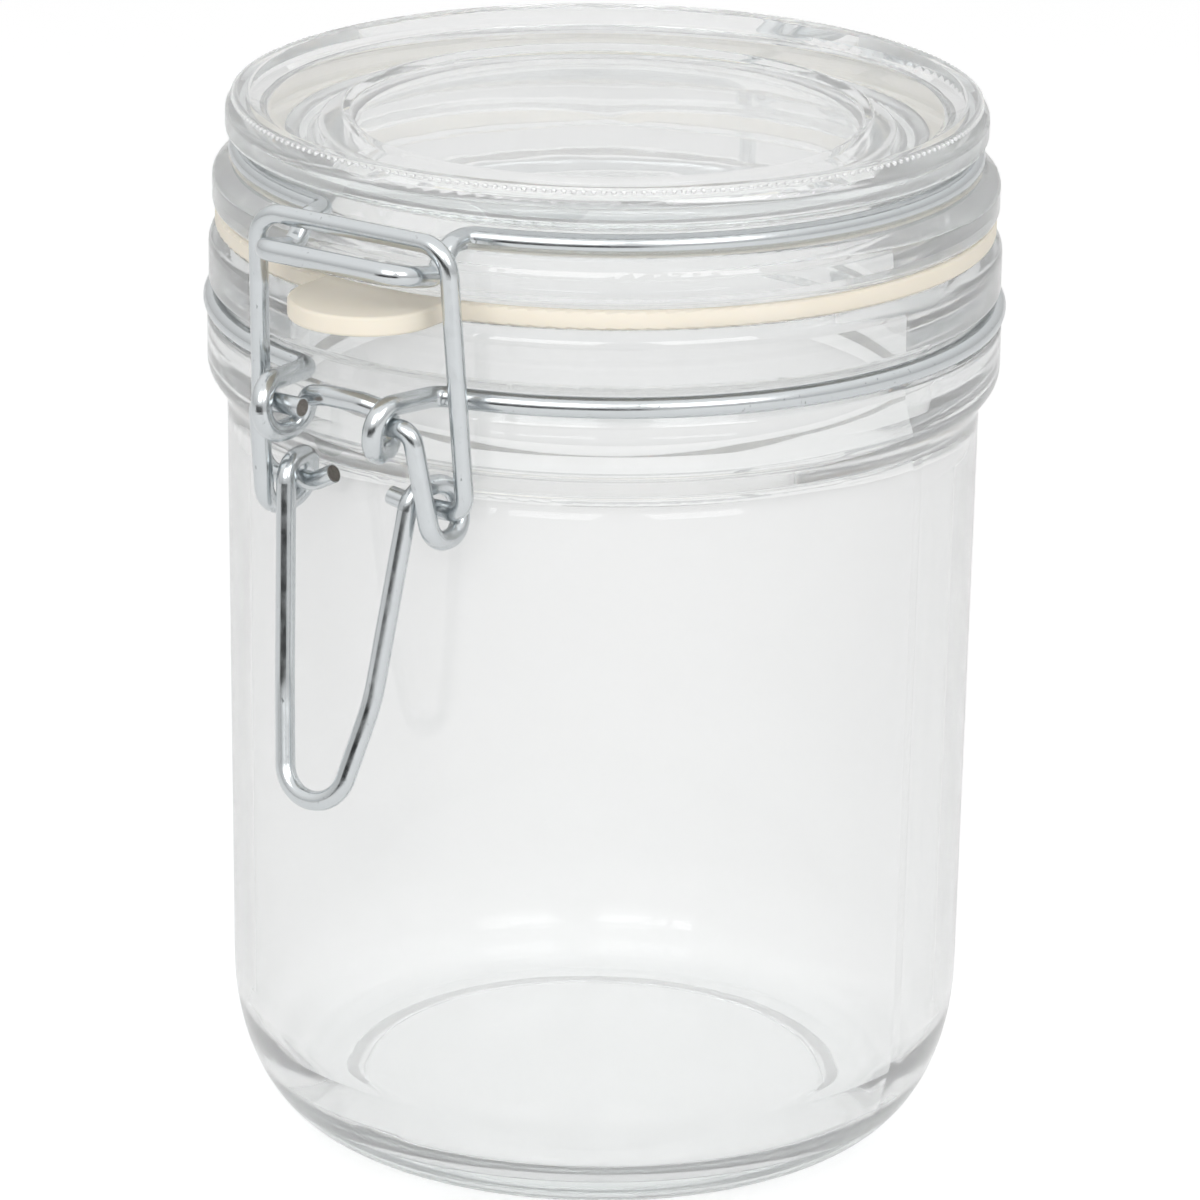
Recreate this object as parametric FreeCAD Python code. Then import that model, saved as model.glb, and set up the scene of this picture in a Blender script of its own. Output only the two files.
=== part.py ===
import FreeCAD, Part
import math
import os

# Glass storage jar with a hinged glass lid, a rubber seal and a wire toggle clamp.
# Units are millimetres.  +Z is up, z = 0 is the plane the jar stands on, the jar's
# axis is the Z axis, the clamp faces -Y and the hinge is at +Y.
#
# Two ways of giving a place are used below:
#   (r, z)       a point of a turned profile: distance from the axis, height
#   (x, out, z)  a point on a wire: sideways, distance out from the axis, height
#                (out runs to -Y on the clamp side and to +Y on the hinge side)

os.makedirs("parts", exist_ok=True)
V = FreeCAD.Vector

# ---------------------------------------------------------------- glass jar
BODY_R = 52.75            # body radius under the shoulder
DRAFT = 0.85              # the body is this much narrower at the top of its heel
SHOULDER_Z = 106.6        # where the body ends and the lower bead begins
HEEL_H = 22.5             # height of the rounded heel
HEEL_W = 12.9             # how far it comes in
FOOT_W = 3.5              # width of the ring of glass that the jar stands on
PUNT_H = 1.6              # how far the middle of the base is lifted
WALL = 2.8                # side wall thickness
FLOOR_Z = 5.8             # top of the floor
FLOOR_TURN = 7.3          # from the inside wall in to the edge of the flat floor
BEAD_PROUD = 2.75         # how far the lower bead stands out from the body
BEAD_RISE = 4.0           # heights above the shoulder: the lower bead,
GROOVE_RISE = 13.5        # the neck wire's groove
FINISH_RISE = 24.0        # and the lip that the seal lies on
FINISH_PROUD = 2.55       # how far the upper bead stands out from the body
GROOVE_DEPTH = 2.2        # groove of the neck wire, in from the upper bead
LIP_W = 11.3              # from the upper bead in to the mouth

# --------------------------------------------------------------------- seal
SEAL_T = 2.8
SEAL_INSET = 0.9          # the seal's edge lies this far in from the upper bead
SEAL_PLAY = 1.2           # between the seal's hole and the mouth
TAB_R = 10.4              # round end of the pull tab
TAB_PROUD = 3.8           # its centre, out from the seal's edge
TAB_X = 1.0               # the tab lies a little to one side of the clamp

# ---------------------------------------------------------------- glass lid
LID_H = 15.9
FLANGE_INSET = 0.5        # the flange's edge lies this far in from the upper bead
SHELF_H = 6.6             # height of the shelf that the lid wire lies on
SHELF_W = 5.2             # its width
RIM_INSET = 1.8           # the rim, in from the flange
EDGE_INSET = 2.0          # crest of the raised edge, in from the rim
WELL_INSET = 14.8         # sunken middle, in from that crest
WELL_DEPTH = 3.1
PANEL_T = 3.8             # thickness of the middle
LID_PLAY = 0.6            # between the lid's spigot and the mouth

# -------------------------------------------------------------------- wires
RING_D = 2.9              # lid wire and neck wire
LEVER_D = 2.7
BAIL_D = 2.6
SEAT = 0.05               # room between a ring wire and the glass it lies against
GROOVE_PLAY = 0.25        # room above and below a ring wire in its groove
EYE_PLAY = 0.7            # room round the lever in the eyes of the neck wire
LOOP_PLAY = 0.85          # room round the bail in the loops of the lever
HINGE_PLAY = 0.35         # room round the hinge bar
EYE_DROP = 0.25           # the lever bears on the top of the eyes
LOOP_DROP = 0.35          # the bail bears on the top of the loops

# toggle clamp, seen from the side: steps (outward, upward) between its axes
PIVOT_DROP = 2.4          # the lever's pivot, below the neck wire's ring
LOOP_IN = 0.4             # the lever's loops come this far inside the body's radius,
                          # where the glass curves away beside them
LINK_STEP = (-5.6, -12.1)  # from the pivot to the bail's ends: past dead centre
GRIP_STEP = (6.1, -52.6)  # from the pivot to the lowest point of the handle
CATCH_STEP = (14.2, -2.1)  # from the lid wire's ring to the front bar of the catch
CATCH_DIP = 3.8           # the catch dips this far, so that the bail can't slide off
BAIL_BACK = 5.4           # the bail's bar, in from the bar of the catch
BAIL_PLAY = 0.65          # and above it

# seen from the front: distances from the middle, (left, right) where a hand-bent
# pair differs
EYE_X = (10.5, 8.5)       # start of an eye
ARM_PLAY = (0.1, 0.6)     # between an eye and the lever's arm beside it
STUB_L = (4.5, 1.1)       # how far the lever's pivot ends pass an eye's start
COIL_X = ((0.3, -1.0, -2.4, -3.2),    # corners of a lever's loop, out from its arm
          (2.0, 2.3, 0.5, -1.5))
BAIL_FOOT_PLAY = 0.25     # between a loop and the bail's leg beside it
BAIL_LEAN = (1.2, 1.3)    # how much nearer the middle the bail's legs are on top
BAIL_END_L = (5.3, 5.8)   # how far the bail's ends pass a loop
BAIL_END_LIFT = (1.7, 0.5)
CATCH_PLAY = 1.05         # between the bail's leg and the catch

# hinge at the back
BAR_STEP = 9.4            # from the lid wire's ring out to the hinge bar
BAR_X = 12.5
HINGE_GAP = 0.4           # between a hinge eye and the bracket beside it

# ------------------------------------------------- sizes that follow from these
BODY_R_LOW = BODY_R - DRAFT
FOOT_R = BODY_R_LOW - HEEL_W
FOOT_IN_R = FOOT_R - FOOT_W
FLOOR_R = BODY_R_LOW - WALL - FLOOR_TURN
BEAD_R = BODY_R + BEAD_PROUD
FINISH_R = BODY_R + FINISH_PROUD
MOUTH_R = FINISH_R - LIP_W
BEAD_LOW_Z = SHOULDER_Z + BEAD_RISE
GROOVE_Z = SHOULDER_Z + GROOVE_RISE
FINISH_Z = SHOULDER_Z + FINISH_RISE
GROOVE_R = FINISH_R - GROOVE_DEPTH
GROOVE_HALF = RING_D / 2 + GROOVE_PLAY

SEAL_R = FINISH_R - SEAL_INSET
SEAL_IN_R = MOUTH_R + SEAL_PLAY
TAB_OUT = SEAL_R + TAB_PROUD

LID_Z = FINISH_Z + SEAL_T  # underside of the lid: it lies on the seal
LID_TOP = LID_Z + LID_H
FLANGE_R = FINISH_R - FLANGE_INSET
SHELF_Z = LID_Z + SHELF_H
LID_GROOVE_R = FLANGE_R - SHELF_W
RIM_R = FLANGE_R - RIM_INSET
RIM_LOW_Z = SHELF_Z + 2 * GROOVE_HALF
EDGE_R = RIM_R - EDGE_INSET
WELL_R = EDGE_R - WELL_INSET
WELL_Z = LID_TOP - WELL_DEPTH

NECK_RING_R = GROOVE_R + RING_D / 2 + SEAT
LID_RING_R = LID_GROOVE_R + RING_D / 2 + SEAT
LID_RING_Z = SHELF_Z + RING_D / 2 + SEAT
EYE_R = (LEVER_D + RING_D) / 2 + EYE_PLAY      # centreline radii
LOOP_R = (BAIL_D + LEVER_D) / 2 + LOOP_PLAY
HINGE_R = RING_D + HINGE_PLAY

# axes across the clamp and the hinge: (out, z)
LINK = (BODY_R - LOOP_IN + LEVER_D / 2 + LOOP_R,
        GROOVE_Z - PIVOT_DROP + LINK_STEP[1])
PIVOT = (LINK[0] - LINK_STEP[0], LINK[1] - LINK_STEP[1])
GRIP = (PIVOT[0] + GRIP_STEP[0], PIVOT[1] + GRIP_STEP[1])
CATCH = (LID_RING_R + CATCH_STEP[0], LID_RING_Z + CATCH_STEP[1])
CATCH_DIP_Z = LID_RING_Z - CATCH_DIP
BAIL_TOP = (CATCH[0] - BAIL_BACK, CATCH[1] + (RING_D + BAIL_D) / 2 + BAIL_PLAY)
BAR = (LID_RING_R + BAR_STEP, LID_RING_Z - HINGE_R)

ARM_X = [x + (RING_D + LEVER_D) / 2 + play for x, play in zip(EYE_X, ARM_PLAY)]
LOOP_X = [[arm + step for step in steps] for arm, steps in zip(ARM_X, COIL_X)]
BAIL_FOOT_X = LOOP_X[1][0] + (LEVER_D + BAIL_D) / 2 + BAIL_FOOT_PLAY
BAIL_X = [BAIL_FOOT_X - lean for lean in BAIL_LEAN]
CATCH_X = BAIL_X[1] - (RING_D + BAIL_D) / 2 - CATCH_PLAY
HINGE_X = BAR_X - RING_D - HINGE_GAP


# ------------------------------------------------------------------ helpers
def bend(corners):
    """Edges through the corners: straight runs joined by tangent arcs.

    corners is a list of (Vector, bend radius); the two ends have no bend."""
    edges = []
    here = corners[0][0]
    for (a, _), (b, radius), (c, _) in zip(corners, corners[1:], corners[2:]):
        u = (a - b).normalize()
        v = (c - b).normalize()
        half_turn = (math.pi - u.getAngle(v)) / 2
        if radius == 0 or half_turn < 1e-6:
            edges.append(Part.makeLine(here, b))
            here = b
            continue
        run = radius * math.tan(half_turn)
        start = b + u * run
        end = b + v * run
        middle = b + (u + v).normalize() * (radius / math.cos(half_turn) - radius)
        if (start - here).Length > 1e-6:
            edges.append(Part.makeLine(here, start))
        edges.append(Part.Arc(start, middle, end).toShape())
        here = end
    edges.append(Part.makeLine(here, corners[-1][0]))
    return edges


def turned(edges):
    """A solid of revolution about Z from a closed loop of edges in the XZ plane."""
    return Part.Face(Part.Wire(edges)).revolve(V(0, 0, 0), V(0, 0, 1), 360)


def profile(points):
    """Edges of an open profile from (r, z, corner radius) points."""
    return bend([(V(r, 0, z), radius) for r, z, radius in points])


def path(points, side=1, back=False):
    """Corners of a wire from (x, out, z, bend radius) points."""
    way = 1 if back else -1
    return [(V(side * x, way * out, z), radius) for x, out, z, radius in points]


def rod(edges, diameter):
    """Round wire swept along tangent edges."""
    wire = Part.Wire(edges)
    first = wire.OrderedEdges[0]
    start = wire.OrderedVertexes[0].Point
    low, high = first.ParameterRange
    if (first.valueAt(low) - start).Length < 1e-6:
        along = first.tangentAt(low)
    else:
        along = first.tangentAt(high) * -1
    disc = Part.Face(Part.Wire(Part.makeCircle(diameter / 2, start, along)))
    return wire.makePipe(disc)


def leave_ring(radius, z, x_from, reach):
    """Leave a ring on its tangent: the point on the ring and one `reach` further."""
    out = math.sqrt(radius ** 2 - x_from ** 2)
    x_to = x_from - reach * out / radius
    out_to = out + reach * x_from / radius
    return (x_from, out, z, 0), (x_to, out_to, z)


def ring_arc(radius, z, x_front, x_back):
    """The side of a ring between a front and a back point, both at +X."""
    front = V(x_front, -math.sqrt(radius ** 2 - x_front ** 2), z)
    back = V(x_back, math.sqrt(radius ** 2 - x_back ** 2), z)
    return Part.Arc(front, V(radius, 0, z), back).toShape()


def mirror_x(shape):
    return shape.mirror(V(0, 0, 0), V(1, 0, 0))


def both_halves(half):
    """One wire from its +X half, which ends square on the plane x = 0."""
    return half.fuse(mirror_x(half)).removeSplitter()


def two_sides(make_side):
    """One wire from its left and right side, which both end square on x = 0.

    make_side(k) gives a side drawn at +X: k is 0 for the left one, 1 for the right."""
    return mirror_x(make_side(0)).fuse(make_side(1)).removeSplitter()


def eye(x_start, out, z, radius, cross_drop, cross_in, cross_bend=3.0):
    """Points of one eye bent round an axis along X, going inward along X.

    It comes in over the top, goes round under the axis and up its inner side,
    and leaves for the middle as a cross piece."""
    bend_r = radius - 0.2
    return [
        (x_start, out + radius, z + radius, bend_r),
        (x_start - 0.7, out + radius, z - radius, bend_r),
        (x_start - 1.8, out - radius, z - radius, radius - 0.4),
        (x_start - 3.0, out - radius, z + cross_drop - 0.8, 1.7),
        (x_start - 6.6, out - cross_in, z + cross_drop, cross_bend),
        (0, out - cross_in, z + cross_drop, 0),
    ]


def save(shape, name):
    shape.exportStep("parts/" + name + ".step")
    print(name, "volume", round(shape.Volume, 1), "valid", shape.isValid(),
          "solids", len(shape.Solids))


# ---------------------------------------------------------------- glass jar
def make_jar():
    # outside: base, foot ring, heel, body, two beads with the wire groove between
    base = profile([
        (0, PUNT_H, 0),
        (FOOT_IN_R - 2.5, PUNT_H, 3.0),
        (FOOT_IN_R, 0, 0.8),
        (FOOT_R, 0, 0),
    ])
    heel_mid = V(FOOT_R, 0, HEEL_H)
    oval = Part.Ellipse(V(FOOT_R, 0, 0), V(BODY_R_LOW, 0, HEEL_H), heel_mid)
    heel = [Part.ArcOfEllipse(oval, 0, math.pi / 2).toShape()]
    outside = profile([
        (BODY_R_LOW, HEEL_H, 0),
        (BODY_R, SHOULDER_Z, 3.0),
        (BEAD_R, BEAD_LOW_Z, 3.5),
        (BEAD_R, GROOVE_Z - GROOVE_HALF - 0.4, 0.8),
        (GROOVE_R, GROOVE_Z - GROOVE_HALF, 0.9),
        (GROOVE_R, GROOVE_Z + GROOVE_HALF, 0.9),
        (FINISH_R, GROOVE_Z + GROOVE_HALF + 0.9, 1.0),
        (FINISH_R, FINISH_Z - 1.6, 2.0),
        (SEAL_R - 0.6, FINISH_Z, 0.5),
        (MOUTH_R, FINISH_Z, 1.0),
        (MOUTH_R, SHOULDER_Z + 7.0, 9.0),
        (BODY_R - WALL, SHOULDER_Z - 3.0, 8.0),
        (BODY_R_LOW - WALL, HEEL_H - 5.5, 11.0),
        (BODY_R_LOW - WALL - 3.2, FLOOR_Z + 2.2, 5.0),
        (FLOOR_R, FLOOR_Z, 1.2),
        (0, FLOOR_Z, 0),
        (0, PUNT_H, 0),
    ])
    return turned(base + heel + outside)


# --------------------------------------------------------------------- seal
def make_seal():
    low, high = FINISH_Z, FINISH_Z + SEAL_T
    ring = turned(profile([
        (SEAL_IN_R + 1, low, 0),
        (SEAL_R, low, 0.5),
        (SEAL_R, high, 0.5),
        (SEAL_IN_R, high, 0.3),
        (SEAL_IN_R, low, 0.3),
        (SEAL_IN_R + 1, low, 0),
    ]))
    tongue = Part.makeCylinder(TAB_R, SEAL_T, V(TAB_X, -TAB_OUT, low))
    root_y = math.sqrt((SEAL_R - 3) ** 2 - TAB_R ** 2)
    neck = Part.makeBox(2 * TAB_R, TAB_OUT - root_y, SEAL_T,
                        V(TAB_X - TAB_R, -TAB_OUT, low))
    tab = tongue.fuse(neck).removeSplitter()
    round_end = [e for e in tab.Edges
                 if e.Curve.TypeId == "Part::GeomCircle" and e.BoundBox.ZLength < 0.01
                 and abs(e.Curve.Radius - TAB_R) < 0.01]
    tab = tab.makeFillet(0.5, round_end)
    inside = Part.makeCylinder(SEAL_R - 1.5, SEAL_T, V(0, 0, low))
    return ring.fuse(tab.cut(inside)).removeSplitter()


# ---------------------------------------------------------------- glass lid
def make_lid():
    spigot_r = MOUTH_R - LID_PLAY
    return turned(profile([
        (0, WELL_Z, 0),
        (WELL_R - 0.6, WELL_Z, 0.8),
        (WELL_R + 0.6, WELL_Z + 0.8, 0.8),
        (EDGE_R - 3.8, WELL_Z + 1.0, 1.5),
        (EDGE_R - 1.2, LID_TOP, 0.9),
        (EDGE_R + 0.6, LID_TOP, 0.8),
        (RIM_R, LID_TOP - 1.9, 2.0),
        (RIM_R, RIM_LOW_Z + 0.9, 0.9),
        (RIM_R - 2.0, RIM_LOW_Z, 0.5),
        (LID_GROOVE_R, RIM_LOW_Z, 0.6),
        (LID_GROOVE_R, SHELF_Z, 0.5),
        (FLANGE_R - 2.2, SHELF_Z, 1.4),
        (FLANGE_R, SHELF_Z - 1.8, 1.4),
        (FLANGE_R, LID_Z + 0.9, 0.7),
        (FLANGE_R - 0.9, LID_Z, 0.4),
        (spigot_r + 1.2, LID_Z, 0.4),
        (spigot_r, LID_Z - 4.0, 0.8),
        (spigot_r - 2.2, LID_Z - 4.0, 0.8),
        (spigot_r - 3.2, LID_Z + 4.4, 3.0),
        (WELL_R - 0.4, WELL_Z - PANEL_T - 0.3, 4.0),
        (0, WELL_Z - PANEL_T, 0),
        (0, WELL_Z, 0),
    ]))


# ----------------------------------------------------------------- lid wire
def make_lid_wire():
    out, z = CATCH
    start, turn = leave_ring(LID_RING_R, LID_RING_Z, CATCH_X + 3.1, 3.4)
    front = bend(path([
        start,
        turn + (2.4,),
        (CATCH_X, LID_RING_R + 2.9, LID_RING_Z - 0.2, 3.0),
        (CATCH_X, LID_RING_R + 6.3, CATCH_DIP_Z, 2.5),
        (CATCH_X, out, z, 3.1),
        (0, out, z, 0),
    ]))
    back_start, back_turn = leave_ring(LID_RING_R, LID_RING_Z, HINGE_X + 3.4, 3.4)
    hinge = bend(path(
        [back_start, back_turn + (2.4,)] + eye(HINGE_X, *BAR, HINGE_R, 0.9, HINGE_R),
        back=True))
    side = ring_arc(LID_RING_R, LID_RING_Z, CATCH_X + 3.1, HINGE_X + 3.4)
    return both_halves(rod(front + [side] + hinge, RING_D))


# ---------------------------------------------------------------- neck wire
def make_neck_wire():
    out, z = PIVOT
    bar_out, bar_z = BAR

    def side(k):
        x_eye = EYE_X[k]
        start, turn = leave_ring(NECK_RING_R, GROOVE_Z, x_eye + 5.0, 3.9)
        front = bend(path([start, turn + (2.6,)] +
                          eye(x_eye, out, z - EYE_DROP, EYE_R, 1.7, 2.8, 2.6)))
        back_start, back_turn = leave_ring(NECK_RING_R, GROOVE_Z, BAR_X + 3.9, 3.9)
        bracket = bend(path([
            back_start,
            back_turn + (2.4,),
            (BAR_X, bar_out, GROOVE_Z, 2.4),
            (BAR_X, bar_out, bar_z, 1.9),
            (0, bar_out, bar_z, 0),
        ], back=True))
        half_ring = ring_arc(NECK_RING_R, GROOVE_Z, x_eye + 5.0, BAR_X + 3.9)
        return rod(front + [half_ring] + bracket, RING_D)

    return two_sides(side)


# ---------------------------------------------------------------- the lever
def make_lever():
    out, z = PIVOT
    link, low = LINK[0], LINK[1] - LOOP_DROP
    r = LOOP_R

    def side(k):
        under_front, under_back, over_back, over_front = LOOP_X[k]
        return rod(bend(path([
            (EYE_X[k] - STUB_L[k], out, z, 0),
            (ARM_X[k], out, z, 2.2),
            (under_front, link + r, low - r, r - 0.12),
            (under_back, link - r, low - r, r - 0.12),
            (over_back, link - r, low + r, r - 0.12),
            (over_front, link + r, low + r, r - 0.25),
            (7.3, out + 2.1, z - 38.2, 35.0),
            (4.2, GRIP[0], GRIP[1], 5.0),
            (0, GRIP[0], GRIP[1], 0),
        ])), LEVER_D)

    return two_sides(side)


# ----------------------------------------------------------------- the bail
def make_bail():
    def side(k):
        end_x = LOOP_X[k][3] - BAIL_END_L[k]
        return rod(bend(path([
            (0, BAIL_TOP[0], BAIL_TOP[1], 0),
            (BAIL_X[k], BAIL_TOP[0], BAIL_TOP[1], 4.2),
            (BAIL_FOOT_X, LINK[0], LINK[1], 2.6),
            (end_x + 3.2, LINK[0], LINK[1], 3.0),
            (end_x, LINK[0], LINK[1] + BAIL_END_LIFT[k], 0),
        ])), BAIL_D)

    return two_sides(side)


save(make_jar(), "jar_glass")
save(make_seal(), "seal")
save(make_lid(), "lid_glass")
save(make_lid_wire(), "lid_wire")
save(make_neck_wire(), "neck_wire")
save(make_lever(), "lever_wire")
save(make_bail(), "bail_wire")
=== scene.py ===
# %% [markdown]
# # A clip-top glass storage jar
#
# The jar is a real kitchen object: a pressed glass body, a pressed glass lid, a moulded
# rubber seal between them, and four bent wires that clamp the lid down. The engineering
# model already holds each of them as a solid, so this lesson is about looks: clear glass,
# zinc-plated wire, cream rubber, and a small studio to see them in.
#
# We load that model first.

# %% Load the engineering model
import math

import bpy
from mathutils import Matrix, Quaternion, Vector


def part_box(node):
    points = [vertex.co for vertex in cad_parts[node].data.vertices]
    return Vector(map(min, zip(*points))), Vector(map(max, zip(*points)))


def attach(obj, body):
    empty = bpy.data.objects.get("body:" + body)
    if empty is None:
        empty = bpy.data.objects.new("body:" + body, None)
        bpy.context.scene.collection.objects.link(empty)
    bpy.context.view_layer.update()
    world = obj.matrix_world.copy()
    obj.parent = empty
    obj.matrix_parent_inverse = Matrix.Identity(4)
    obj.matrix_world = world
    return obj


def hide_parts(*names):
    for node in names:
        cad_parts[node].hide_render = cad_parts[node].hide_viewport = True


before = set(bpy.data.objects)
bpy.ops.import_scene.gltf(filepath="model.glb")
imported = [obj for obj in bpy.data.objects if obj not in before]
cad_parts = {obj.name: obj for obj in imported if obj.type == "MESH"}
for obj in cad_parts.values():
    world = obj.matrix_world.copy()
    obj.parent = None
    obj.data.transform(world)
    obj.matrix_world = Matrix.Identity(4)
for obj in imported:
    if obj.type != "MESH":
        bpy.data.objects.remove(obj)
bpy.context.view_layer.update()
MM = 0.001                # the scene's unit is the metre
print("nodes:", sorted(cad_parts))

# %% [markdown]
# ## Small helpers
#
# Colours are written the way a designer notes them, as sRGB hex, and one function turns
# them into the linear numbers that a shader wants. A second function adds one node with
# its settings and its links, so that every material below reads like a parts list.

# %% Helpers for colours and nodes


def linear(hex_colour, alpha=1.0):
    """sRGB hex, such as "#E8E0CC", as linear RGBA."""
    parts = [int(hex_colour[i:i + 2], 16) / 255 for i in (1, 3, 5)]
    return [p / 12.92 if p <= 0.04045 else ((p + 0.055) / 1.055) ** 2.4
            for p in parts] + [alpha]


def add_node(tree, kind, links=None, settings=None, **inputs):
    """One node: `settings` are its attributes, `inputs` its socket values by name or
    index (in3=...), and `links` joins a socket to another node's output."""
    node = tree.nodes.new(kind)
    for key, value in (settings or {}).items():
        setattr(node, key, value)
    for key, value in inputs.items():
        socket = int(key[2:]) if key[:2] == "in" and key[2:].isdigit() else \
            key.replace("_", " ")
        node.inputs[socket].default_value = value
    for socket, source in (links or {}).items():
        tree.links.new(node.inputs[socket], source)
    return node


def new_material(name):
    """An empty node material and its tree."""
    material = bpy.data.materials.new(name)
    material.use_nodes = True
    material.node_tree.nodes.clear()
    return material, material.node_tree


# %% [markdown]
# ## Clear soda-lime glass
#
# The body and the lid are pressed soda-lime glass: sand, soda and lime melted with a
# little iron in it. A thin wall looks colourless, but where light runs along the glass
# for a centimetre or more, at the edges, the heel and the beads, the iron shows as a
# soft grey-green. So the surface itself is white, and the colour is put inside, as
# absorption that grows with the length of the way through the glass. The mould leaves a
# faint waviness, which a very weak bump gives.
#
# A jar that has been handled isn't perfectly clear: washing and fingers leave a thin haze
# that catches the lamps, so a small share of the surface is white and matt. A lamp's
# light would hardly ever find its way through two curved walls by chance, so the rays
# that look for a lamp pass straight through the glass and only lose a trace of light.

# %% Glass
GLASS_IOR = 1.52
CLEAR_SHARE = 0.86        # how much of the surface is clear; the rest is haze
RIPPLE_MM = 9.0           # width of the mould's faint waves
RIPPLE_HEIGHT = 0.4 * MM


def make_glass():
    material, tree = new_material("pressed_soda_lime_glass")
    place = add_node(tree, "ShaderNodeTexCoord")
    wave = add_node(tree, "ShaderNodeTexNoise", {"Vector": place.outputs["Object"]},
                    Scale=1 / (RIPPLE_MM * MM), Detail=1.0)
    bump = add_node(tree, "ShaderNodeBump", {"Height": wave.outputs[0]},
                    Strength=0.02, Distance=RIPPLE_HEIGHT)
    skin = add_node(tree, "ShaderNodeBsdfPrincipled", {"Normal": bump.outputs[0]},
                    Base_Color=linear("#FFFFFF"), Roughness=0.0, IOR=GLASS_IOR,
                    Transmission_Weight=CLEAR_SHARE)
    lamp_light = add_node(tree, "ShaderNodeBsdfTransparent", Color=linear("#FCFDFD"))
    light_path = add_node(tree, "ShaderNodeLightPath")
    either = add_node(tree, "ShaderNodeMixShader",
                      {0: light_path.outputs["Is Shadow Ray"], 1: skin.outputs[0],
                       2: lamp_light.outputs[0]})
    inside = add_node(tree, "ShaderNodeVolumeAbsorption",
                      Color=linear("#B4C6C4"), Density=4.0)
    add_node(tree, "ShaderNodeOutputMaterial",
             {"Surface": either.outputs[0], "Volume": inside.outputs[0]})
    return material


glass = make_glass()
print("glass:", glass.name, "IOR", GLASS_IOR, "clear", CLEAR_SHARE)

# %% [markdown]
# ## Zinc-plated steel wire
#
# The clamp is bent from drawn steel wire that is barrel-plated with zinc. New plating is
# a bright, slightly blue metal. It is never a mirror: drawing leaves fine lengthwise
# lines, tumbling in the plating barrel leaves tiny dull dents, and use rubs dark
# scratches into it. The base is a full metal with a fairly low roughness. A soft noise
# varies the roughness, and a stretched noise with a hard threshold draws the scratches.
# We could paint the marks on an image, but a noise in real millimetres needs no file and
# looks the same on every bend.

# %% Zinc-plated wire
DENT_MM = 2.2             # width of the patches that tumbling leaves duller
SCRATCH_MM = 0.5          # spacing of the rubbed marks, as coarse as shows here
LENGTHEN = 0.35           # below 1 it draws the marks out along the upright wires


def make_zinc():
    material, tree = new_material("zinc_plated_steel_wire")
    place = add_node(tree, "ShaderNodeTexCoord")
    cloud = add_node(tree, "ShaderNodeTexNoise", {"Vector": place.outputs["Object"]},
                     Scale=1 / (DENT_MM * MM), Detail=3.0)
    stretch = add_node(tree, "ShaderNodeMapping", {"Vector": place.outputs["Object"]},
                       Scale=(1.0, 1.0, LENGTHEN))
    rub = add_node(tree, "ShaderNodeTexNoise", {"Vector": stretch.outputs[0]},
                   Scale=1 / (SCRATCH_MM * MM), Detail=4.0, Roughness=0.62)
    scratch = add_node(tree, "ShaderNodeMapRange", {"Value": rub.outputs[0]},
                       From_Min=0.66, From_Max=0.74)
    tone = add_node(tree, "ShaderNodeMix",
                    {"Factor": scratch.outputs[0]}, {"data_type": "RGBA"},
                    in6=linear("#CFD3D5"), in7=linear("#6E7476"))
    rough = add_node(tree, "ShaderNodeMapRange", {"Value": cloud.outputs[0]},
                     From_Min=0.3, From_Max=0.7, To_Min=0.15, To_Max=0.27)
    bump = add_node(tree, "ShaderNodeBump", {"Height": rub.outputs[0]},
                    Strength=0.12, Distance=0.05 * MM)
    skin = add_node(tree, "ShaderNodeBsdfPrincipled",
                    {"Base Color": tone.outputs[2], "Roughness": rough.outputs[0],
                     "Normal": bump.outputs[0]}, Metallic=1.0)
    add_node(tree, "ShaderNodeOutputMaterial", {"Surface": skin.outputs[0]})
    return material


zinc = make_zinc()
print("zinc:", zinc.name, "marks every", SCRATCH_MM, "mm")

# %% [markdown]
# ## Cream rubber
#
# The seal is moulded natural rubber, dusted with talc so that it doesn't stick to the
# glass. That makes it matt and slightly uneven in colour, and light goes a little way
# into it, which a small amount of subsurface scattering gives. A wide noise gives the
# uneven colour and a fine one the grain of the mould.

# %% Rubber
PATCH_MM = 12.0           # width of the paler and darker places
GRAIN_MM = 0.6            # the mould's grain, as coarse as shows here


def make_rubber():
    material, tree = new_material("moulded_natural_rubber")
    place = add_node(tree, "ShaderNodeTexCoord")
    cloud = add_node(tree, "ShaderNodeTexNoise", {"Vector": place.outputs["Object"]},
                     Scale=1 / (PATCH_MM * MM), Detail=3.0)
    grain = add_node(tree, "ShaderNodeTexNoise", {"Vector": place.outputs["Object"]},
                     Scale=1 / (GRAIN_MM * MM), Detail=3.0)
    tone = add_node(tree, "ShaderNodeMix",
                    {"Factor": cloud.outputs[0]}, {"data_type": "RGBA"},
                    in6=linear("#E6DECD"), in7=linear("#EEE7DA"))
    bump = add_node(tree, "ShaderNodeBump", {"Height": grain.outputs[0]},
                    Strength=0.2, Distance=0.05 * MM)
    skin = add_node(tree, "ShaderNodeBsdfPrincipled",
                    {"Base Color": tone.outputs[2], "Normal": bump.outputs[0]},
                    Roughness=0.62, Subsurface_Weight=0.15,
                    Subsurface_Radius=(1.2 * MM, 0.9 * MM, 0.5 * MM),
                    Subsurface_Scale=1.0)
    add_node(tree, "ShaderNodeOutputMaterial", {"Surface": skin.outputs[0]})
    return material


rubber = make_rubber()
print("rubber:", rubber.name, "grain", GRAIN_MM, "mm")

# %% [markdown]
# ## Glass and wire on their solids
#
# The body, the lid and the four wires already have their full shape, down to the round
# beads of the neck and every bend of the clamp. They are left as they are and only get
# their finish. The seal is missing here, because it gets a piece of its own below.

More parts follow.
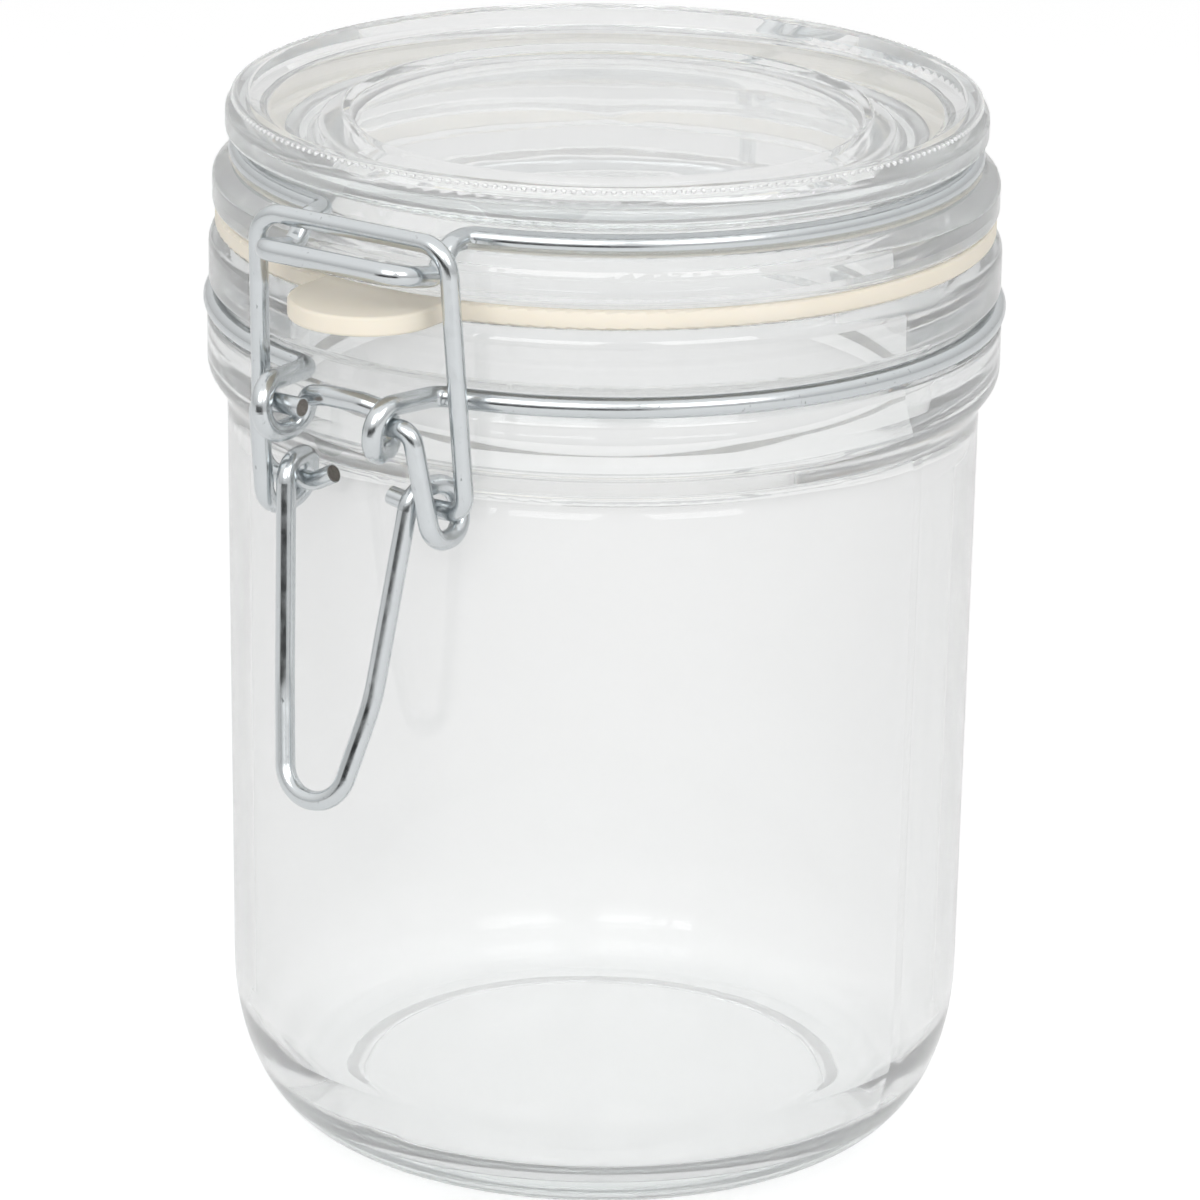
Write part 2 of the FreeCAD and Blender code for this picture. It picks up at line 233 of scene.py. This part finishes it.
# %% Give each solid its material
FINISH = {
    "jar_glass": glass, "lid_glass": glass,
    "lid_wire": zinc, "neck_wire": zinc, "lever_wire": zinc, "bail_wire": zinc,
}
for name, material in FINISH.items():
    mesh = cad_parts[name].data
    mesh.materials.clear()
    mesh.materials.append(material)
print("finished:", len(FINISH), "solids")

# %% [markdown]
# ## The rubber seal
#
# Rubber never lies against glass without a trace of air between them, and that film of
# air is what makes the glass above the seal look silvery from the side. The solids touch
# exactly, which a renderer can't decide, so the seal is a piece of its own: a copy of
# the solid, welded into one skin, and thinner by a few hundredths of a millimetre at the
# top and at the bottom. We could draw the ring anew, but its tab grows out of it in a
# shape that the solid already has right.

# %% Seal with a film of air
AIR_FILM = 0.03 * MM


def only(piece):
    """Select one object alone and make it the active one."""
    bpy.ops.object.select_all(action="DESELECT")
    piece.select_set(True)
    bpy.context.view_layer.objects.active = piece


def welded_copy(node, name):
    """A copy of a solid's mesh whose loose triangles are joined to one skin."""
    piece = bpy.data.objects.new(name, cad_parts[node].data.copy())
    bpy.context.scene.collection.objects.link(piece)
    only(piece)
    bpy.ops.mesh.customdata_custom_splitnormals_clear()
    bpy.ops.object.mode_set(mode="EDIT")
    bpy.ops.mesh.select_all(action="SELECT")
    bpy.ops.mesh.remove_doubles(threshold=0.001 * MM)
    bpy.ops.mesh.normals_make_consistent(inside=False)
    bpy.ops.object.mode_set(mode="OBJECT")
    return piece


def make_seal():
    """The seal, squeezed about its middle height by a film of air on both faces."""
    seal = welded_copy("seal", "rubber_seal")
    low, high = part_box("seal")
    thick = high[2] - low[2]
    bpy.ops.object.mode_set(mode="EDIT")
    bpy.ops.transform.resize(value=(1, 1, 1 - 2 * AIR_FILM / thick),
                             center_override=(0, 0, (low[2] + high[2]) / 2))
    bpy.ops.object.mode_set(mode="OBJECT")
    bpy.ops.object.shade_smooth_by_angle(angle=math.radians(40))
    seal.data.materials.clear()
    seal.data.materials.append(rubber)
    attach(seal, "jar")
    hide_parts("seal")
    return seal


seal = make_seal()
print("seal:", len(seal.data.vertices), "vertices")

# %% [markdown]
# ## Sheared wire ends
#
# Each clamp wire is cut to length in a shear before it is bent. The cut shows bare grey
# steel with a crushed, slightly hollow face, because the plating there is thin and torn.
# We find the flat ends on the solids, by the area of a wire's round section, and lay a
# thin cap on each: a disc that is inset and pressed in, as the shear leaves it.

# %% Bare steel for the cuts
TORN_MM = 0.35            # size of the torn grains


def make_cut_steel():
    material, tree = new_material("sheared_bare_steel")
    place = add_node(tree, "ShaderNodeTexCoord")
    grain = add_node(tree, "ShaderNodeTexNoise", {"Vector": place.outputs["Object"]},
                     Scale=1 / (TORN_MM * MM), Detail=3.0)
    tone = add_node(tree, "ShaderNodeMix", {"Factor": grain.outputs[0]},
                    {"data_type": "RGBA"}, in6=linear("#6A6560"), in7=linear("#A8A29C"))
    bump = add_node(tree, "ShaderNodeBump", {"Height": grain.outputs[0]},
                    Strength=0.6, Distance=0.1 * MM)
    skin = add_node(tree, "ShaderNodeBsdfPrincipled",
                    {"Base Color": tone.outputs[2], "Normal": bump.outputs[0]},
                    Roughness=0.5, Metallic=1.0)
    add_node(tree, "ShaderNodeOutputMaterial", {"Surface": skin.outputs[0]})
    return material


cut_steel = make_cut_steel()
print("cut ends:", cut_steel.name)

# %% Find the cut ends
WIRE_D = {"lever_wire": 2.7 * MM, "bail_wire": 2.6 * MM}
BODY = {"lever_wire": "lever", "bail_wire": "bail"}
AREA_OFF = 0.05           # share that a disc of facets may differ from a round one


def flat_ends(node, diameter):
    """Centres and directions of a wire's flat ends.

    Faces in one plane are added up, and only a cut end adds up to a round section."""
    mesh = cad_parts[node].data
    area, middle = {}, {}
    for face in mesh.polygons:
        n = face.normal
        key = tuple(round(c, 2) for c in n) + (round(n.dot(face.center) / MM, 1),)
        area[key] = area.get(key, 0) + face.area
        middle[key] = middle.get(key, Vector()) + face.center * face.area
    disc = math.pi * diameter ** 2 / 4
    return [(middle[key] / size, Vector(key[:3]).normalized())
            for key, size in area.items() if abs(size / disc - 1) < AREA_OFF]


ends = [(node, centre, way) for node, diameter in WIRE_D.items()
        for centre, way in flat_ends(node, diameter)]
print("cut ends found:", len(ends))

# %% Caps on the cut ends
CAP_R = 0.44              # radius of a cap, by the wire's diameter: just inside the edge
CAP_T = 0.06 * MM
CRUSHED = 0.16            # width of the crushed rim, by the cap's radius
HOLLOW = 0.3              # width of the slope inside that rim, by the cap's radius
HOLLOW_DEPTH = 0.6 * CAP_T


def add_cap(name, centre, way, radius, body):
    """A thin, hollow disc on a cut end, which rides on the wire's body."""
    bpy.ops.object.select_all(action="DESELECT")
    bpy.ops.mesh.primitive_circle_add(vertices=32, radius=radius, fill_type="NGON")
    cap = bpy.context.object
    cap.name = name
    bpy.ops.object.mode_set(mode="EDIT")
    bpy.ops.mesh.extrude_region_move(
        TRANSFORM_OT_translate={"value": (0, 0, CAP_T)})
    bpy.ops.mesh.inset(thickness=CRUSHED * radius)
    bpy.ops.mesh.inset(thickness=HOLLOW * radius, depth=-HOLLOW_DEPTH)
    bpy.ops.mesh.select_all(action="SELECT")
    bpy.ops.mesh.normals_make_consistent(inside=False)
    bpy.ops.object.mode_set(mode="OBJECT")
    cap.matrix_world = Matrix.Translation(centre) @ \
        way.to_track_quat("Z", "Y").to_matrix().to_4x4()
    bpy.ops.object.transform_apply()
    cap.data.materials.append(cut_steel)
    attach(cap, body)
    return cap


caps = [add_cap(f"cut_{BODY[node]}_{k}", centre, way, CAP_R * WIRE_D[node], BODY[node])
        for k, (node, centre, way) in enumerate(ends)]
print("caps:", [(c.name, [round(v / MM, 1) for v in c.data.vertices[0].co]) for c in caps])

# %% [markdown]
# ## The beaded edge of the lid
#
# A row of tiny beads is pressed into the glass round the raised edge of the lid, to grip
# a jar that stands on it. We model one bead, a squashed sphere of a few dozen faces, and
# set copies of it round the edge. They lie on the outer slope of the edge, where they
# stay below its top.

# %% Beads
BEADS = 246
BEAD_R = 0.42 * MM
BEAD_DROP = 0.45 * MM     # below the top of the lid
BEAD_IN = 3.0 * MM        # in from the flange
BEAD_FLAT = 0.8           # height of a bead, by its width


def make_beads():
    """One bead at the front, its copies turned about the jar, joined to one piece."""
    low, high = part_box("lid_glass")
    ring_r = high[0] - BEAD_IN
    z = high[2] - BEAD_DROP
    bpy.ops.object.select_all(action="DESELECT")
    bpy.ops.mesh.primitive_uv_sphere_add(segments=8, ring_count=5, radius=BEAD_R,
                                         location=(0, -ring_r, z))
    bead = bpy.context.object
    bead.scale = (1.0, 1.0, BEAD_FLAT)
    bpy.ops.object.transform_apply()
    bead.name = "lid_beads"
    first = bead.data.copy()
    for k in range(1, BEADS):
        turned = first.copy()
        turned.transform(Matrix.Rotation(2 * math.pi * k / BEADS, 4, "Z"))
        copy = bpy.data.objects.new(f"bead_{k}", turned)
        bpy.context.scene.collection.objects.link(copy)
        copy.select_set(True)
    bpy.context.view_layer.objects.active = bead
    bpy.ops.object.join()
    bpy.ops.object.shade_smooth()
    bead.data.materials.append(glass)
    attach(bead, "jar")
    return bead


beads = make_beads()
print("beads:", len(beads.data.polygons), "faces")

# %% [markdown]
# ## The table
#
# Clear glass has no colour of its own, so it shows what stands around it. The table is
# white and matt, as a product table is. A real one is lit so brightly that it goes white
# to the eye, and that much light would wash out the jar. So the table lights the jar only
# with what it gets from the lamps and the room, and glows a little more for the rays that
# come straight from the camera or off a mirroring face. It lies a hair below the jar's
# foot, so that glass and table never share a face.

# %% A level for each kind of ray


def by_ray(tree, light, mirrored, through, camera):
    """A level that depends on which kind of ray asks for it.

    A ray that has come through glass also counts as glossy, so the order matters.
    `mirrored` may be a level or another node's output."""
    path = add_node(tree, "ShaderNodeLightPath")
    level = add_node(tree, "ShaderNodeMix", {0: path.outputs["Is Glossy Ray"]}, in2=light)
    if isinstance(mirrored, float):
        level.inputs[3].default_value = mirrored
    else:
        tree.links.new(level.inputs[3], mirrored)
    for kind, value in (("Is Transmission Ray", through), ("Is Camera Ray", camera)):
        level = add_node(tree, "ShaderNodeMix",
                         {0: path.outputs[kind], 2: level.outputs[0]}, in3=value)
    return level.outputs[0]


# %% Floor
FLOOR_SIZE = 6.0
FLOOR_DROP = 0.2 * MM
FLOOR_TONE = (0.9, 0.9, 0.9, 1)


def make_laminate():
    material, tree = new_material("white_table_laminate")
    matt = add_node(tree, "ShaderNodeBsdfDiffuse", Color=FLOOR_TONE)
    glow = add_node(tree, "ShaderNodeEmission",
                    {"Strength": by_ray(tree, light=0.0, mirrored=0.10, through=0.0,
                                        camera=0.30)})
    both = add_node(tree, "ShaderNodeAddShader",
                    {0: matt.outputs[0], 1: glow.outputs[0]})
    add_node(tree, "ShaderNodeOutputMaterial", {"Surface": both.outputs[0]})
    return material


bpy.ops.mesh.primitive_plane_add(size=FLOOR_SIZE, location=(0, 0, -FLOOR_DROP))
floor = bpy.context.object
floor.name = "studio_floor"
floor.data.materials.append(make_laminate())
print("floor is", floor.dimensions.x, "m wide")

# %% [markdown]
# ## The room
#
# The room is white paper all round. As light it is held back, so that the lamps still
# give the jar a bright and a dark side. In the wires it shows as walls that are grey near
# the table and white overhead, because a bent wire in an even room would look flat.
# Through the glass and straight ahead it is white.

# %% World
ROOM_LIGHT = 0.68
ROOM_THROUGH_GLASS = 0.88
WALL_LOW = 0.55
WALL_HIGH = 1.05
WALL_FROM = -0.1          # upward part of the direction where the walls begin to brighten
WALL_TO = 0.7             # and where they are at their brightest


def make_world():
    world = bpy.data.worlds.new("studio_room")
    bpy.context.scene.world = world
    world.use_nodes = True
    tree = world.node_tree
    tree.nodes.clear()
    way = add_node(tree, "ShaderNodeTexCoord")
    height = add_node(tree, "ShaderNodeSeparateXYZ", {0: way.outputs["Generated"]})
    walls = add_node(tree, "ShaderNodeMapRange", {"Value": height.outputs["Z"]},
                     From_Min=WALL_FROM, From_Max=WALL_TO, To_Min=WALL_LOW,
                     To_Max=WALL_HIGH)
    room = add_node(tree, "ShaderNodeBackground",
                    {"Strength": by_ray(tree, light=ROOM_LIGHT, mirrored=walls.outputs[0],
                                        through=ROOM_THROUGH_GLASS, camera=1.0)},
                    Color=(1, 1, 1, 1))
    add_node(tree, "ShaderNodeOutputWorld", {"Surface": room.outputs[0]})
    return world


print("world:", make_world().name)

# %% [markdown]
# ## The lamps
#
# Two square soft boxes stand above the camera, one on each side of it. They draw the two
# bright windows on the shoulder and in the base of the jar, and a white line along every
# wire. A small lamp would give hard sparks instead, and no soft edge to the round glass.

# %% Lamps
LAMP_GLOW = 3.0           # how bright a soft box is beside a white wall
LAMP_AWAY = 1.3
LAMP_AIM = Vector((0, 0, 0.05))


def direction(azimuth, elevation):
    """The way from the jar to something at this azimuth and elevation in degrees."""
    a, e = math.radians(azimuth), math.radians(elevation)
    return Vector((math.sin(a) * math.cos(e), -math.cos(a) * math.cos(e), math.sin(e)))


def soft_lamp(name, azimuth, elevation, size):
    """A soft box that looks at the jar."""
    light = bpy.data.lights.new(name, "AREA")
    light.shape = "RECTANGLE"
    light.size, light.size_y = size
    light.energy = LAMP_GLOW * math.pi * size[0] * size[1]
    lamp = bpy.data.objects.new(name, light)
    bpy.context.scene.collection.objects.link(lamp)
    way = direction(azimuth, elevation)
    lamp.matrix_world = Matrix.Translation(LAMP_AIM + way * LAMP_AWAY) @ \
        way.to_track_quat("Z", "Y").to_matrix().to_4x4()
    return lamp


lamps = [soft_lamp("right_box", azimuth=65, elevation=37, size=(0.6, 0.6)),
         soft_lamp("left_box", azimuth=14, elevation=37, size=(0.75, 0.6))]
print("lamps:", [lamp.name for lamp in lamps])

# %% [markdown]
# ## The black card
#
# In a white room the wires lose their outline, because there is nothing dark for them to
# mirror. In a studio, black card stands just out of view for that. This one lies on the
# table before the clamp and is folded up along its far edge. We shape it from a plane:
# stretch it, shift it, and pull its outer edge up. Only mirrored rays see it, so it takes
# no light from the jar and doesn't show through the glass.

# %% Black card
CARD_WIDTH = 1.1
CARD_DEPTH = 0.3
CARD_OUT = 0.7            # from the jar's axis to the middle of the lying part
CARD_LIFT = 3 * MM
CARD_FOLD = 0.22          # height of the standing part
CARD_AZIMUTH = 12


def make_card():
    bpy.ops.object.select_all(action="DESELECT")
    bpy.ops.mesh.primitive_plane_add(size=1.0, location=(0, 0, 0))
    card = bpy.context.object
    card.name = "black_card"
    bpy.ops.object.mode_set(mode="EDIT")
    bpy.ops.mesh.select_all(action="SELECT")
    bpy.ops.transform.resize(value=(CARD_WIDTH, CARD_DEPTH, 1))
    bpy.ops.transform.translate(value=(0, -CARD_OUT, CARD_LIFT))
    bpy.ops.mesh.select_mode(type="EDGE")
    bpy.ops.mesh.select_all(action="DESELECT")
    bpy.ops.object.mode_set(mode="OBJECT")
    for edge in card.data.edges:
        edge.select = all(card.data.vertices[v].co.y < -CARD_OUT for v in edge.vertices)
    bpy.ops.object.mode_set(mode="EDIT")
    bpy.ops.mesh.extrude_region_move(
        TRANSFORM_OT_translate={"value": (0, 0, CARD_FOLD)})
    bpy.ops.object.mode_set(mode="OBJECT")
    card.rotation_euler.z = math.radians(CARD_AZIMUTH)
    bpy.ops.object.transform_apply()
    return card


def make_velvet():
    material, tree = new_material("black_velvet")
    velvet = add_node(tree, "ShaderNodeBsdfDiffuse", Color=(0.02, 0.02, 0.02, 1))
    add_node(tree, "ShaderNodeOutputMaterial", {"Surface": velvet.outputs[0]})
    return material


card = make_card()
card.data.materials.append(make_velvet())
card.visible_camera = False
card.visible_diffuse = False
card.visible_transmission = False
card.visible_shadow = False
print("card:", len(card.data.polygons), "faces")

# %% [markdown]
# ## The camera
#
# The camera looks down on the jar a little, from the right of the clamp, so that the lid
# shows as an ellipse and the lever stands out from the glass. It is a metre away with a
# long lens, which keeps the sides of the jar nearly upright, and it is turned by a trace
# about its own axis.

# %% Camera
AZIMUTH = 34.0
ELEVATION = 18.5
DISTANCE = 1.0
ROLL = 0.88
SENSOR = 36.0
LENS = 211.5
TARGET = Vector((0.0, 0.0, 0.075))

camera = bpy.data.objects.new("camera", bpy.data.cameras.new("camera"))
bpy.context.scene.collection.objects.link(camera)
camera.data.sensor_width = SENSOR
camera.data.lens = LENS
away = direction(AZIMUTH, ELEVATION)
turn = away.to_track_quat("Z", "Y") @ Quaternion((0, 0, 1), math.radians(ROLL))
camera.matrix_world = Matrix.Translation(TARGET + away * DISTANCE) @ \
    turn.to_matrix().to_4x4()
bpy.context.scene.camera = camera
print("camera at", [round(c, 3) for c in camera.matrix_world.translation])

# %% [markdown]
# ## How often light may turn
#
# Light that enters a thick glass rim is thrown to and fro inside it many times before it
# leaves. A path that is cut short turns black, and the lid would fill with dark lines. So
# the limits for clear and mirrored light are high, and matt light, which matters little
# here, is cut short instead. The colours are shown as they are, with no film look.

# %% Light paths and colour
GLASS_TURNS = 20
MIRROR_TURNS = 16
MATT_TURNS = 2

scene = bpy.context.scene
scene.view_settings.view_transform = "Standard"
scene.cycles.max_bounces = GLASS_TURNS
scene.cycles.transmission_bounces = GLASS_TURNS
scene.cycles.glossy_bounces = MIRROR_TURNS
scene.cycles.diffuse_bounces = MATT_TURNS
print("light may turn", GLASS_TURNS, "times in glass")
